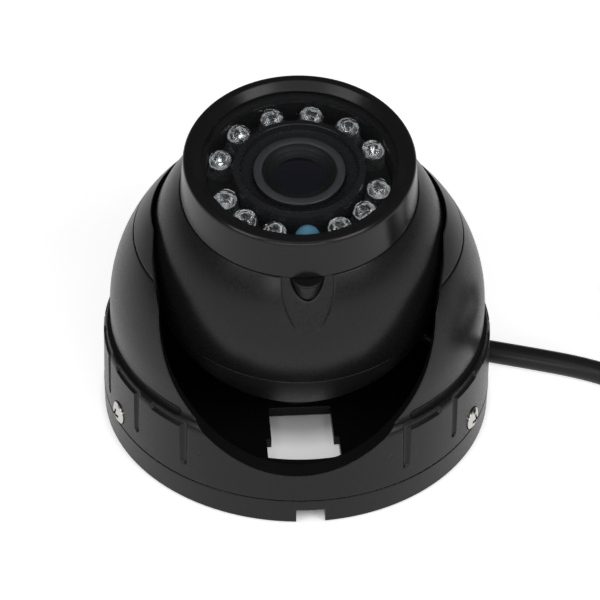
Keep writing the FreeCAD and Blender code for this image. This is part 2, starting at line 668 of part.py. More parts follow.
def make_lens_hood():
    bore = D["neck_radius"] + D["hood_thread_gap"]
    window_top = D["window_foot"] + D["window_thickness"]
    return turned("lens_hood", [
        (bore, D["shoulder_top"]), (D["hood_foot_radius"], D["shoulder_top"]),
        (D["hood_lip_radius"], D["hood_top"] - D["hood_round"]),
        (D["hood_lip_radius"] - D["hood_round"], D["hood_top"], -D["hood_round"]),
        (D["hood_mouth_radius"], D["hood_top"]),
        (D["hood_throat_radius"], window_top + D["hood_edge"]),
        (D["hood_throat_radius"], window_top), (bore, window_top)])


def make_window():
    return turned("front_window", [
        (0, D["window_foot"]), (D["window_radius"], D["window_foot"]),
        (D["window_radius"], D["window_foot"] + D["window_thickness"]),
        (0, D["window_foot"] + D["window_thickness"])])


def make_window_seal():
    return turned("window_seal", [
        (D["neck_bore"] + 0.4, D["neck_top"]), (D["neck_radius"] - 0.3, D["neck_top"]),
        (D["neck_radius"] - 0.3, D["window_foot"]), (D["neck_bore"] + 0.4, D["window_foot"])])


# ---------------------------------------------------------------- boards, lamps and lens

def led_turns():
    """Lamps in two groups, close together at the front and wider at the rear."""
    turns = []
    for step in (1, 2, 3):
        front, rear = D["led_front_pitch"] * step, D["led_rear_pitch"] * (step - 0.5)
        turns += [front, -front, fixed(HALF_TURN) - rear, fixed(HALF_TURN) + rear]
    return [D["ball_turn"] + 2 + turn for turn in turns]


def lamp(name, radius, flange_radius, foot, tip, turn):
    """A clear round-nosed lamp: flange, barrel and domed top."""
    item = turned(name, [
        (0, foot), (flange_radius, foot), (flange_radius, foot + D["led_flange"]),
        (radius, foot + D["led_flange"]), (radius, tip - radius), (0, tip, -radius)])
    return place(item, **around(D["led_circle"], turn))


def board_top():
    return D["board_seat"] + D["board_thickness"]


def make_leds():
    lamps = [lamp("led", D["led_radius"], D["led_flange_radius"], board_top(), D["led_tip"], turn)
             for turn in led_turns()]
    return group("infrared_leds", lamps)


def make_light_sensor():
    item = lamp("sensor_lamp", D["led_radius"], D["led_flange_radius"], board_top(),
                D["led_tip"] - 0.2, D["ball_turn"] + 2)
    return group("light_sensor", [item])


def make_led_board():
    ring = turned("led_board_blank", [
        (D["led_board_bore"], D["board_seat"]), (D["led_board_radius"], D["board_seat"]),
        (D["led_board_radius"], board_top()), (D["led_board_bore"], board_top())])
    return group("led_board", [ring])


def make_lens_shield():
    top, wall = D["shield_top"], 0.6
    return turned("lens_shield", [
        (D["shield_mouth"], D["shield_foot"]), (D["shield_tube"], D["shield_foot"]),
        (D["shield_tube"], board_top() + 0.1), (D["shield_radius"], board_top() + 0.1),
        (D["shield_radius"], top - wall), (D["shield_radius"] - wall, top),
        (D["shield_radius"] - 2 * wall, top), (D["shield_mouth"], D["shield_throat_z"])])


def make_lens_barrel():
    rim = D["barrel_radius"] - 0.5
    return turned("lens_barrel", [
        (0, D["thread_foot"]), (D["thread_radius"], D["thread_foot"]),
        (D["thread_radius"], D["thread_top"]), (D["barrel_neck_radius"], D["thread_top"]),
        (D["barrel_neck_radius"], D["barrel_foot"]), (D["barrel_radius"], D["barrel_foot"]),
        (D["barrel_radius"], D["barrel_top"] - 0.3), (D["barrel_radius"] - 0.3, D["barrel_top"]),
        (rim, D["barrel_top"]), (D["lens_radius"] + 0.1, D["lens_seat"] + 0.5),
        (D["lens_radius"] + 0.1, D["lens_seat"] - 1.2), (0, D["lens_seat"] - 1.2)])


def make_lens_glass():
    foot, edge = D["lens_seat"] - 1.15, D["lens_seat"] + 0.1
    rise, half = D["lens_rise"], D["lens_radius"]
    curve = (half * half + rise * rise) / (rise * 2)
    return turned("lens_glass", [
        (0, foot), (half, foot), (half, edge), (0, edge + rise, -curve)])


def make_lens_holder():
    side, foot = D["holder_side"], D["sensor_board_z"] + D["board_thickness"]
    block = box("holder_block", side, side, D["holder_base"], x=-(side / 2), y=-(side / 2), z=foot)
    tube = cylinder("holder_tube", D["holder_radius"], D["thread_top"] - 0.3 - foot, z=foot)
    bore = cylinder("holder_bore", D["thread_radius"] + 0.1, D["thread_top"], z=foot)
    well = box("holder_well", side - 4, side - 4, D["holder_base"] - 1.0,
               x=-(side / 2) + 2, y=-(side / 2) + 2, z=foot)
    return cut("lens_holder", fuse("holder_blank", [block, tube]), fuse("holder_cuts", [bore, well]))


def corner_spots():
    offset = D["standoff_offset"]
    return [(offset * sx, offset * sy) for sx in (-1, 1) for sy in (-1, 1)]


def make_sensor_board():
    side = D["board_side"]
    blank = box("board_blank", side, side, D["board_thickness"], x=-(side / 2), y=-(side / 2),
                z=D["sensor_board_z"])
    holes = [cylinder("board_hole", D["small_screw_radius"] + 0.1, D["board_thickness"],
                      x=x, y=y, z=D["sensor_board_z"]) for x, y in corner_spots()]
    return cut("sensor_board", blank, fuse("board_holes", holes))


def make_image_sensor():
    return group("image_sensor", [
        box("sensor_chip", fixed(8.6), fixed(7.4), fixed(1.3), x=-4.3, y=-3.7,
            z=D["sensor_board_z"] + D["board_thickness"])])


def make_standoffs():
    foot = D["sensor_board_z"] + D["board_thickness"]
    posts = []
    for x, y in corner_spots():
        post = cylinder("post", D["standoff_radius"], D["board_seat"] - foot, x=x, y=y, z=foot)
        bore = cylinder("post_bore", D["small_screw_radius"] + 0.05, fixed(5), x=x, y=y, z=foot)
        posts.append(cut("standoff", post, bore))
    return group("standoffs", posts)


def make_board_screws():
    screws = []
    for x, y in corner_spots():
        screw = pan_screw("board_screw", D["small_screw_radius"], fixed(5), D["small_head_radius"],
                          D["small_head_height"])
        screws.append(place(screw, x=x, y=y, z=D["sensor_board_z"], axis=(1, 0, 0), angle=180))
    return group("board_screws", screws)


# ---------------------------------------------------------------- cable

def way(turn):
    """Unit vector of a compass turn in the XY plane, from +X towards +Y."""
    return VECTOR(math.cos(math.radians(turn)), math.sin(math.radians(turn)), 0)


def tube(points, radius):
    """A round tube through points: straight runs joined by the largest tangent arcs."""
    edges, radii, start = [], [], points[0]
    for before, here, after in zip(points, points[1:], points[2:]):
        incoming, outgoing = here - before, after - here
        turn = incoming.getAngle(outgoing)
        trim = 0.45 * min(incoming.Length, outgoing.Length)
        radii.append(trim / math.tan(turn / 2))
        incoming.normalize()
        outgoing.normalize()
        enter, leave = here - incoming * trim, here + outgoing * trim
        inward = (outgoing - incoming).normalize()
        sag = radii[-1] * (1 / math.cos(turn / 2) - 1)
        edges.append(Part.LineSegment(start, enter).toShape())
        edges.append(Part.Arc(enter, here + inward * sag, leave).toShape())
        start = leave
    edges.append(Part.LineSegment(start, points[-1]).toShape())
    wire = Part.Wire(edges)
    first = (points[1] - points[0]).normalize()
    section = Part.Wire([Part.Circle(points[0], first, radius).toShape()])
    solid = wire.makePipeShell([section], True, False)
    expected = math.pi * radius * radius * wire.Length
    print("tube length %.1f radii %s volume ratio %.4f"
          % (wire.Length, [round(value, 1) for value in radii], solid.Volume / expected))
    return solid


def exit_point(inward, height):
    """A point on the line of the cable's exit, inward from the rim."""
    spot = VECTOR(DIMENSIONS["exit_x"], DIMENSIONS["exit_y"], height)
    return spot - way(DIMENSIONS["exit_turn"]) * inward


def shaped(name, shape):
    item = doc.addObject("Part::Feature", name)
    item.Shape = shape
    return item


def cable_height():
    return DIMENSIONS["cable_radius"] + DIMENSIONS["cable_lift"]


def lead_hole_way():
    """Unit vector from the ball's centre through its lead hole, with the ball at rest."""
    drop = math.radians(DIMENSIONS["lead_hole_drop"])
    lean = FreeCAD.Rotation(VECTOR(1, 0, 0), DIMENSIONS["ball_lean"])
    flat = way(DIMENSIONS["lead_hole_turn"] - 90) * math.sin(drop)
    return lean.multVec(flat + VECTOR(0, 0, math.cos(drop)))


def make_inner_lead():
    """The lead inside the base: from the gland along the trench and up to the ball."""
    size = DIMENSIONS
    centre = VECTOR(0, 0, size["ball_height"])
    skin = size["ball_radius"] - size["rear_step"]
    outward = lead_hole_way()
    points = [exit_point(size["gland_depth"] + 0.05, cable_height()),
              exit_point(size["gland_depth"] + 7, cable_height() + 0.3),
              VECTOR(27.5, 22.5, 8.5),
              centre + outward * (skin + 9.5), centre + outward * (skin + 0.5)]
    return shaped("inner_lead", tube(points, size["lead_radius"]))


def make_cable_gland():
    """A rubber block that fills the notch in the rim; the cable runs through it."""
    block = box("gland_block", D["gland_depth"] + 4, D["exit_width"] - 0.2,
                D["exit_height"] - 0.15, x=-D["gland_depth"], y=-(D["exit_width"] / 2) + 0.1,
                z=0.1)
    bore = cylinder("gland_bore", D["cable_radius"] + 0.05, D["gland_depth"] + 6,
                    x=-D["gland_depth"] - 1, z=D["cable_radius"] + D["cable_lift"],
                    axis=(0, 1, 0), angle=90)
    bored = at_exit("gland_placed", [cut("gland_bored", block, bore)])
    rim = cylinder("gland_rim", D["base_radius"] - 0.2, D["rim_top"])
    return common("cable_gland", [bored, rim])


def cable_points():
    """The stretch that isn't coiled, chosen by hand: out of the gland and along the floor."""
    height = cable_height()
    return [exit_point(DIMENSIONS["gland_depth"], height), VECTOR(57.0, 10.1, height),
            VECTOR(74.4, 5.4, height), VECTOR(90.0, -3.6, height)]


def coil_centre():
    """The coil lies left of the cable's way, its outer turn tangent to the last run."""
    before, last = cable_points()[-2:]
    along = (last - before).normalize()
    left = VECTOR(-along.y, along.x, 0)
    outer_turn = DIMENSIONS["coil_radius"] + DIMENSIONS["cable_radius"]
    spot = last + along * DIMENSIONS["coil_lead_in"] + left * outer_turn
    return VECTOR(spot.x, spot.y, 0)


def coil_top():
    return D["cable_lift"] + D["cable_radius"] * 2


def make_cable_coil():
    """Two turns side by side, as one closed ring."""
    half = D["cable_radius"] * 2
    ease = D["cable_radius"] * 0.8
    inner, outer = D["coil_radius"] - half, D["coil_radius"] + half
    foot, top = D["cable_lift"], coil_top()
    ring = turned("cable_coil", [
        (inner + ease, foot, -ease), (outer - ease, foot), (outer, foot + ease, -ease),
        (outer, top - ease), (outer - ease, top, -ease), (inner + ease, top),
        (inner, top - ease, -ease), (inner, foot + ease)])
    centre = coil_centre()
    return place(ring, x=centre.x, y=centre.y)


def make_cable():
    """The cable along the floor, trimmed where it runs into the coil."""
    run = shaped("cable_run", tube(cable_points(), DIMENSIONS["cable_radius"]))
    return cut("cable", run, make_coil_envelope())


def make_coil_envelope():
    centre = coil_centre()
    return cylinder("coil_envelope", D["coil_radius"] + D["cable_radius"] * 2 + 0.02,
                    fixed(20), x=centre.x, y=centre.y, z=-5)


def make_coil_tie():
    """A strap round both turns of the coil."""
    centre = coil_centre()
    ring = D["coil_radius"]
    half = D["cable_radius"] * 2
    outer = box("tie_outer", half * 2 + 1.8, D["tie_width"], coil_top() + 0.9,
                x=ring - half - 0.9, y=-(D["tie_width"] / 2))
    inner = box("tie_inner", half * 2 + 0.3, D["tie_width"] + 2, coil_top() - 0.1,
                x=ring - half - 0.15, y=-(D["tie_width"] / 2) - 1, z=D["cable_lift"] - 0.05)
    return place(group("coil_tie", [cut("tie_band", outer, inner)]), x=centre.x, y=centre.y,
                 axis=(0, 0, 1), angle=D["tie_turn"])


def tail_points():
    """The last stretch, on top of the coil and up level into the plug."""
    size = DIMENSIONS
    low = size["cable_lift"] + 3 * size["cable_radius"] + 0.05
    centre, reach = coil_centre(), size["tail_radius"]
    climb = ((114, 0.0), (95, 0.25), (76, 1.0), (57, 2.2), (38, 3.6), (19, 4.8), (0, 4.8))
    return [centre + way(size["plug_turn"] - turn) * reach + VECTOR(0, 0, low + rise)
            for turn, rise in climb]


def plug_start():
    """Where the plug takes the cable, and which way it points."""
    before, end = tail_points()[-2:]
    return end, (end - before).normalize()


def make_cable_tail():
    return shaped("cable_tail", tube(tail_points(), DIMENSIONS["cable_radius"]))


def on_plug(item):
    """Lay a piece that was drawn up its own Z along the plug."""
    end, along = plug_start()
    item = place(group("laid_piece", [item]), axis=(0, 1, 0), angle=90)
    return place(group("placed_piece", [item]), x=end.x, y=end.y, z=end.z, axis=(0, 0, 1),
                 angle=math.degrees(math.atan2(along.y, along.x)))


def make_cable_plug():
    """The connector's body with its ribbed tail, a shoulder for the nut and a pin face."""
    wall = 0.9
    body = turned("plug_body", [
        (0, 0), (D["cable_radius"] + 0.6, 0), (D["plug_radius"] - 1.4, 8),
        (D["plug_radius"], 9.5), (D["plug_radius"], 20), (D["plug_radius"] - 0.8, 20.6),
        (D["plug_radius"] - 0.8, D["plug_length"]),
        (D["plug_radius"] - 0.8 - wall, D["plug_length"]), (D["plug_radius"] - 0.8 - wall, 24),
        (0, 24)])
    return group("cable_plug", [on_plug(body)])


def make_plug_nut():
    nut = turned("nut_ring", [
        (D["plug_radius"] - 0.6, 21), (D["nut_radius"], 21), (D["nut_radius"], 28.5),
        (D["nut_radius"] - 0.6, 29), (D["plug_radius"] - 0.6, 29)])
    grips = []
    for index in range(DIMENSIONS["grip_count"]):
        turn = fixed(360.0 * index) / D["grip_count"]
        grips.append(cylinder("grip", fixed(0.5), fixed(9.5), z=20.5,
                              **around(D["nut_radius"] + 0.15, turn)))
    return group("plug_nut", [on_plug(cut("gripped_nut", nut, fuse("grips", grips)))])


def make_plug_pins():
    pins = []
    for index in range(DIMENSIONS["pin_count"]):
        turn = fixed(360.0 * (index + 0.5)) / D["pin_count"]
        pins.append(cylinder("pin", fixed(0.75), fixed(6), z=24, **around(fixed(2.9), turn)))
    return group("plug_pins", [on_plug(group("pin_set", pins))])


# ---------------------------------------------------------------- the assembly

BALL_PIECES = [
    make_front_shell, make_rear_shell, make_shell_seal, make_shell_screws, make_ball_grommet,
    make_lens_hood, make_window, make_window_seal, make_led_board, make_leds,
    make_light_sensor, make_lens_shield, make_lens_barrel, make_lens_glass, make_lens_holder,
    make_sensor_board, make_image_sensor, make_standoffs, make_board_screws]
FIXED_PIECES = [
    make_base_plate, make_cover_seal, make_ball_pad, make_cable_gland, make_inner_lead,
    make_cable, make_cable_coil, make_coil_tie, make_cable_tail, make_cable_plug,
    make_plug_nut, make_plug_pins, make_dome_cover, make_opening_trim, make_cover_screws]


def finished(piece, in_ball):
    """Wrap a piece so that its own node carries the place it has in the assembly."""
    name = piece.Name
    if in_ball:
        piece.Label = name + "_drawn"
        holder = doc.addObject("Part::Compound", name + "_node")
        holder.Links = [piece]
        piece = lean_with_ball(holder)
    piece.Label = name
    return piece


def check_document():
    faulty = [item for item in doc.Objects if {"Invalid", "Error"} & set(item.State)]
    for item in faulty:
        print("did not recompute:", item.Name, [user.Name for user in item.InList],
              item.getStatusString())
    if faulty:
        raise RuntimeError("%d objects did not recompute" % len(faulty))


def export(piece, folder):
    shape = piece.Shape
    if shape.isNull() or not shape.isValid() or not shape.Solids:
        raise RuntimeError("%s is not a sound solid" % piece.Label)
    solids = shape.Solids
    whole = solids[0] if len(solids) == 1 else Part.makeCompound(solids)
    whole.exportStep(os.path.join(folder, piece.Label + ".step"))
    box_of = shape.BoundBox
    print("%-18s %2d solid(s) %9.1f mm3  z %.2f..%.2f" % (
        piece.Label, len(solids), shape.Volume, box_of.ZMin, box_of.ZMax))


def main():
    os.makedirs("parts", exist_ok=True)
    nodes = [finished(make(), True) for make in BALL_PIECES]
    nodes += [finished(make(), False) for make in FIXED_PIECES]
    doc.recompute()
    check_document()
    for node in nodes:
        export(node, "parts")


main()
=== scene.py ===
import json
import math

import bmesh
import bpy
from bpy.props import FloatProperty, FloatVectorProperty, IntProperty, PointerProperty
from mathutils import Matrix, Vector


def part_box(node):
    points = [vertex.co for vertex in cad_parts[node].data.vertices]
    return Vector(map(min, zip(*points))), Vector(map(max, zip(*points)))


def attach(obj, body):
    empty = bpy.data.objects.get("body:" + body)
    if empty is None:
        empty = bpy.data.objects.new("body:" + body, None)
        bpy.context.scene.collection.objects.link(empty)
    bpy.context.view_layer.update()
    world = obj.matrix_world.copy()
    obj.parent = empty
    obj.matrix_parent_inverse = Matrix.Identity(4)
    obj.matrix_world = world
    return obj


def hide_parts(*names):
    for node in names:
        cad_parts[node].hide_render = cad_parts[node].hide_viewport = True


bl_info = {
    "name": "Dome Camera Dressing",
    "version": (1, 0, 0),
    "blender": (4, 5, 0),
    "location": "3D View > Sidebar > Dome Camera",
    "description": "Finishes for a cast dome camera: paint, lamps, lens, window, cable and studio",
    "category": "Object",
}

MM = 0.001
WELD = 0.000001  # points nearer than this are one
SMOOTH_ANGLE = math.radians(40)
# The window glass mirrors this share face on and at grazing, and rises by this power between.
MIRROR_SHARE, MIRROR_POWER = (0.012, 0.9), 5
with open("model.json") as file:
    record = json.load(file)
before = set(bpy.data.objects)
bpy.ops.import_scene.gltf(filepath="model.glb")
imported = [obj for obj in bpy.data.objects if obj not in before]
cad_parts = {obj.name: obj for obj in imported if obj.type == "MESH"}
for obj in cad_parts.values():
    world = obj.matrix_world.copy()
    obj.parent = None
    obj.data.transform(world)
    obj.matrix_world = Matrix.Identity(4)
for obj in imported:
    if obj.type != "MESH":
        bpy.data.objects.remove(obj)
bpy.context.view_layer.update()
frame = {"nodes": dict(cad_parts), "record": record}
NODES = frame["nodes"]
TILT = next(joint for joint in frame["record"]["behaviour"]["joints"] if joint["name"] == "tilt")
BALL_CENTRE = Vector(TILT["pos_m"])


def box_centre(node):
    low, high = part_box(node)
    return (Vector(low) + Vector(high)) / 2


LENS_WAY = (box_centre("front_window") - BALL_CENTRE).normalized()
# From the ball's own space, its Z along the lens axis, to the space of the frame.
BALL_SPACE = (Matrix.Translation(BALL_CENTRE)
              @ Vector((0, 0, 1)).rotation_difference(LENS_WAY).to_matrix().to_4x4())


# ---------------------------------------------------------------- properties

class PaintProps(bpy.types.PropertyGroup):
    colour: FloatVectorProperty(
        name="Paint Colour", description="Colour of the case's baked paint",
        default=(0.0065, 0.0065, 0.0070), subtype="COLOR", min=0, max=1, size=3)
    roughness: FloatProperty(
        name="Paint Roughness", description="Mean roughness of the case's paint",
        default=0.30, min=0, max=1)
    grain: FloatProperty(
        name="Paint Grain", description="Size of the faint grain in the paint",
        default=0.0007, unit="LENGTH")
    edge: FloatProperty(
        name="Edge Softness", description="Radius that the paint gives to sharp edges",
        default=0.0005, unit="LENGTH")


class LampProps(bpy.types.PropertyGroup):
    radius: FloatProperty(
        name="Lamp Radius", description="Radius of a lamp's clear body",
        default=0.0029, unit="LENGTH")
    height: FloatProperty(
        name="Lamp Height", description="Height of a lamp's tip above its foot",
        default=0.0061, unit="LENGTH")
    cup_radius: FloatProperty(
        name="Cup Radius", description="Radius of a lamp's reflector cup at its rim",
        default=0.0018, unit="LENGTH")
    cup_depth: FloatProperty(
        name="Cup Depth", description="Depth of a lamp's reflector cup",
        default=0.0010, unit="LENGTH")
    cup_height: FloatProperty(
        name="Cup Height", description="Height of the cup's rim above the lamp's foot",
        default=0.0030, unit="LENGTH")
    sides: IntProperty(name="Cup Sides", description="Faces round the cup", default=24)


class BallProps(bpy.types.PropertyGroup):
    edge_radius: FloatProperty(
        name="Edge Radius", description="Radius of the rolled edge where the shells part",
        default=0.03512, unit="LENGTH")
    edge_bead: FloatProperty(
        name="Edge Bead", description="Radius of the rolled edge's own section",
        default=0.00022, unit="LENGTH")
    edge_level: FloatProperty(
        name="Edge Level", description="Height of the rolled edge along the lens axis",
        default=-0.00485, unit="LENGTH")
    turn: FloatProperty(
        name="Plug Turn", description="Turn of the front plug about the lens axis",
        default=math.radians(4.5), subtype="ANGLE")
    plug_circle: FloatProperty(
        name="Plug Circle", description="Distance of a plug from the lens axis",
        default=0.0261, unit="LENGTH")
    plug_top: FloatProperty(
        name="Plug Top", description="Height of a plug's flat end along the lens axis",
        default=0.0224, unit="LENGTH")
    plug_radius: FloatProperty(
        name="Plug Radius", description="Radius of a plug", default=0.0035, unit="LENGTH")
    plug_length: FloatProperty(
        name="Plug Length", description="Length of a plug to its round nose",
        default=0.0075, unit="LENGTH")


class CableProps(bpy.types.PropertyGroup):
    diameter: FloatProperty(
        name="Cable Diameter", description="Diameter of the cable's jacket",
        default=0.0056, unit="LENGTH")
    length: FloatProperty(
        name="Cable Length", description="Length from the gland to the connector",
        default=0.5, unit="LENGTH")
    points_per_turn: IntProperty(
        name="Points per Turn", description="Route points in each turn of the coil", default=15)
    colour: FloatVectorProperty(
        name="Jacket Colour", description="Colour of the cable's jacket",
        default=(0.013, 0.013, 0.014), subtype="COLOR", min=0, max=1, size=3)


class StageProps(bpy.types.PropertyGroup):
    elevation: FloatProperty(
        name="Camera Elevation", description="Height of the camera's aim above level",
        default=math.radians(39.4), subtype="ANGLE")
    roll: FloatProperty(
        name="Camera Roll", description="Turn of the camera about its own axis",
        default=math.radians(0.9), subtype="ANGLE")
    distance: FloatProperty(
        name="Camera Distance", description="Distance from the camera to its target",
        default=0.6, unit="LENGTH")
    target_height: FloatProperty(
        name="Target Height", description="Height above the floor that the camera aims at",
        default=0.0291, unit="LENGTH")
    focal: FloatProperty(
        name="Focal Length", description="Focal length in millimetres", default=150.3)
    shift: FloatProperty(
        name="Sideways Shift", description="Lens shift in widths of the picture",
        default=0.0043)
    rise: FloatProperty(
        name="Upward Shift", description="Lens shift in heights of the picture",
        default=-0.0027)
    floor_glow: FloatProperty(
        name="Floor Glow", description="Light that the pale floor adds to what the eye sees",
        default=0.66, min=0)
    floor_sheen: FloatProperty(
        name="Floor Sheen", description="Light that the pale floor adds to what the paint mirrors",
        default=0.50, min=0)


# ---------------------------------------------------------------- materials

def new_material(name):
    material = bpy.data.materials.new(name)
    material.use_nodes = True
    shader = material.node_tree.nodes["Principled BSDF"]
    return material, material.node_tree, shader


def noise(tree, scale, detail=3.0, rough=0.55):
    """Noise in the piece's own space; scale is in features per metre."""
    place = tree.nodes.new("ShaderNodeTexCoord")
    texture = tree.nodes.new("ShaderNodeTexNoise")
    texture.inputs["Scale"].default_value = scale
    texture.inputs["Detail"].default_value = detail
    texture.inputs["Roughness"].default_value = rough
    tree.links.new(place.outputs["Object"], texture.inputs["Vector"])
    return texture.outputs["Fac"]


def spread(tree, value, low, high, start=0.3, end=0.7):
    """Map a texture's middle range to low..high."""
    node = tree.nodes.new("ShaderNodeMapRange")
    node.inputs["From Min"].default_value = start
    node.inputs["From Max"].default_value = end
    node.inputs["To Min"].default_value = low
    node.inputs["To Max"].default_value = high
    tree.links.new(value, node.inputs["Value"])
    return node.outputs["Result"]


def maths(tree, operation, first, second):
    """The result of a math node; its second value is a socket or a plain number."""
    node = tree.nodes.new("ShaderNodeMath")
    node.operation = operation
    tree.links.new(first, node.inputs[0])
    if isinstance(second, (int, float)):
        node.inputs[1].default_value = second
    else:
        tree.links.new(second, node.inputs[1])
    return node.outputs[0]


def seen_rays(tree):
    """1 for rays that show the background, straight or through glass."""
    path = tree.nodes.new("ShaderNodeLightPath")
    return maths(tree, "MAXIMUM", path.outputs["Is Camera Ray"],
                 path.outputs["Is Transmission Ray"])


def blend_colours(tree, value, dark, light):
    node = tree.nodes.new("ShaderNodeMix")
    node.data_type = "RGBA"
    node.inputs["A"].default_value = (*dark, 1)
    node.inputs["B"].default_value = (*light, 1)
    tree.links.new(value, node.inputs["Factor"])
    return node.outputs["Result"]


def relief(tree, shader, value, depth, edge=0.0):
    """Bump from a texture, over edges softened by edge."""
    bump = tree.nodes.new("ShaderNodeBump")
    bump.inputs["Strength"].default_value = 1.0
    bump.inputs["Distance"].default_value = depth
    tree.links.new(value, bump.inputs["Height"])
    if edge:
        bevel = tree.nodes.new("ShaderNodeBevel")
        bevel.samples = 6
        bevel.inputs["Radius"].default_value = edge
        tree.links.new(bevel.outputs["Normal"], bump.inputs["Normal"])
    tree.links.new(bump.outputs["Normal"], shader.inputs["Normal"])


def surface(name, colour, rough, metal=0.0, grain=1500.0, depth=0.000004, edge=0.0, vary=0.25,
            tone=0.35, gloss=0.25):
    """A finish whose tone, gloss and grain wander a little over the piece."""
    material, tree, shader = new_material(name)
    shader.inputs["Metallic"].default_value = metal
    shader.inputs["Specular IOR Level"].default_value = 0.5 if metal else gloss
    cloud = noise(tree, 90.0, 2.0)
    fine = noise(tree, grain, 3.0, 0.6)
    dark = [channel * (1 - tone / 2) for channel in colour]
    light = [min(1.0, channel * (1 + tone / 2)) for channel in colour]
    tree.links.new(blend_colours(tree, cloud, dark, light), shader.inputs["Base Color"])
    tree.links.new(spread(tree, fine, rough * (1 - vary), rough * (1 + vary)),
                   shader.inputs["Roughness"])
    relief(tree, shader, fine, depth, edge)
    return material


def case_paint(props):
    """Baked semi-gloss paint over the casting, with a faint orange peel."""
    return surface("case_paint", props.colour, props.roughness, grain=1 / props.grain,
                   depth=0.0000035, edge=props.edge, vary=0.16)


def hood_paint(props):
    return surface("hood_paint", props.colour, props.roughness * 0.72, grain=1 / props.grain,
                   depth=0.000002, edge=props.edge, vary=0.14)


def trim_rubber():
    return surface("trim_rubber", (0.022, 0.022, 0.023), 0.32, grain=2600.0, depth=0.000003,
                   edge=0.0005, vary=0.12)


def seal_rubber():
    return surface("seal_rubber", (0.013, 0.013, 0.014), 0.6, grain=2200.0, depth=0.000006,
                   vary=0.15)


def window_glass():
    """Clear glass: mostly let through, with a plain gloss on both faces."""
    material, tree, shader = new_material("window_glass")
    tree.nodes.remove(shader)
    clear = tree.nodes.new("ShaderNodeBsdfTransparent")
    clear.inputs["Color"].default_value = (0.96, 0.97, 0.975, 1)
    gloss = tree.nodes.new("ShaderNodeBsdfGlossy")
    gloss.inputs["Roughness"].default_value = 0.02
    # The share mirrored is the same on both faces, and grows towards grazing.
    slant = tree.nodes.new("ShaderNodeLayerWeight")
    steep = maths(tree, "POWER", slant.outputs["Facing"], MIRROR_POWER)
    mix = tree.nodes.new("ShaderNodeMixShader")
    tree.links.new(spread(tree, steep, *MIRROR_SHARE, 0.0, 1.0), mix.inputs["Fac"])
    tree.links.new(clear.outputs["BSDF"], mix.inputs[1])
    tree.links.new(gloss.outputs["BSDF"], mix.inputs[2])
    tree.links.new(mix.outputs["Shader"], tree.nodes["Material Output"].inputs["Surface"])
    return material


def lamp_clear():
    """The clear resin of a lamp's body, with a slight swirl."""
    material, tree, shader = new_material("lamp_clear")
    shader.inputs["Base Color"].default_value = (0.95, 0.96, 0.98, 1)
    shader.inputs["Transmission Weight"].default_value = 0.97
    shader.inputs["IOR"].default_value = 1.5
    swirl = noise(tree, 520.0, 1.5)
    tree.links.new(spread(tree, swirl, 0.015, 0.03), shader.inputs["Roughness"])
    relief(tree, shader, swirl, 0.0005)
    return material


def sensor_tint():
    """The light sensor's face: milky blue resin over a dark die, with a faint painted glow."""
    material, tree, shader = new_material("sensor_tint")
    cloud = noise(tree, 420.0, 2.0)
    tree.links.new(blend_colours(tree, cloud, (0.06, 0.20, 0.32), (0.17, 0.38, 0.52)),
                   shader.inputs["Base Color"])
    shader.inputs["Roughness"].default_value = 0.12
    shader.inputs["Coat Weight"].default_value = 0.6
    shader.inputs["Coat Roughness"].default_value = 0.03
    # Painted glow: a faint blue emission lifts the sensor's face, though it gives no light of its
    # own.
    shader.inputs["Emission Color"].default_value = (0.10, 0.32, 0.50, 1)
    shader.inputs["Emission Strength"].default_value = 0.05
    return material


def coated_lens():
    """Dark glass with the violet bloom of its coating."""
    material, tree, shader = new_material("coated_lens")
    shader.inputs["Base Color"].default_value = (0.004, 0.004, 0.006, 1)
    shader.inputs["Roughness"].default_value = 0.03
    shader.inputs["Specular Tint"].default_value = (0.42, 0.36, 1.0, 1)
    shader.inputs["Coat Weight"].default_value = 0.15
    shader.inputs["Coat Roughness"].default_value = 0.02
    return material


def cable_jacket(props):
    return surface("cable_jacket", props.colour, 0.36, grain=1800.0, depth=0.000006, vary=0.2)


# ---------------------------------------------------------------- helpers

def clear_selection():
    if bpy.context.mode != "OBJECT":
        bpy.ops.object.mode_set(mode="OBJECT")
    bpy.ops.object.select_all(action="DESELECT")


def named(name):
    piece = bpy.context.active_object
    piece.name = name
    piece.data.name = name
    return piece


def edit(piece):
    """Open one piece for editing with nothing selected."""
    clear_selection()
    piece.select_set(True)
    bpy.context.view_layer.objects.active = piece
    bpy.ops.object.mode_set(mode="EDIT")
    bpy.ops.mesh.select_mode(type="FACE")
    bpy.ops.mesh.select_all(action="DESELECT")


def pick_faces(piece, test):
    """Select the faces that pass the test, and no others."""
    mesh = bmesh.from_edit_mesh(piece.data)
    bpy.ops.mesh.select_all(action="DESELECT")
    for face in mesh.faces:
        face.select_set(test(face))
    bmesh.update_edit_mesh(piece.data)


def close_edit():
    bpy.ops.object.mode_set(mode="OBJECT")


def place_into_mesh(piece, space=Matrix.Identity(4)):
    """Put the piece's place in a space into its mesh, so that its object sits at the origin."""
    piece.data.transform(space @ piece.matrix_world)
    piece.matrix_world = Matrix.Identity(4)


def settle(piece):
    """Carry a piece from the ball's own space to the space of the frame, and smooth it."""
    place_into_mesh(piece, BALL_SPACE)
    clear_selection()
    piece.select_set(True)
    bpy.context.view_layer.objects.active = piece
    bpy.ops.object.shade_smooth_by_angle(angle=SMOOTH_ANGLE)
    return piece


def finish_piece(piece, body, material):
    piece.data.materials.clear()
    piece.data.materials.append(material)
    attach(piece, body)
    return piece


def dress(nodes, material):
    """Give carried-over nodes a finish."""
    for node in nodes:
        item = NODES[node]
        item.data.materials.clear()
        item.data.materials.append(material)


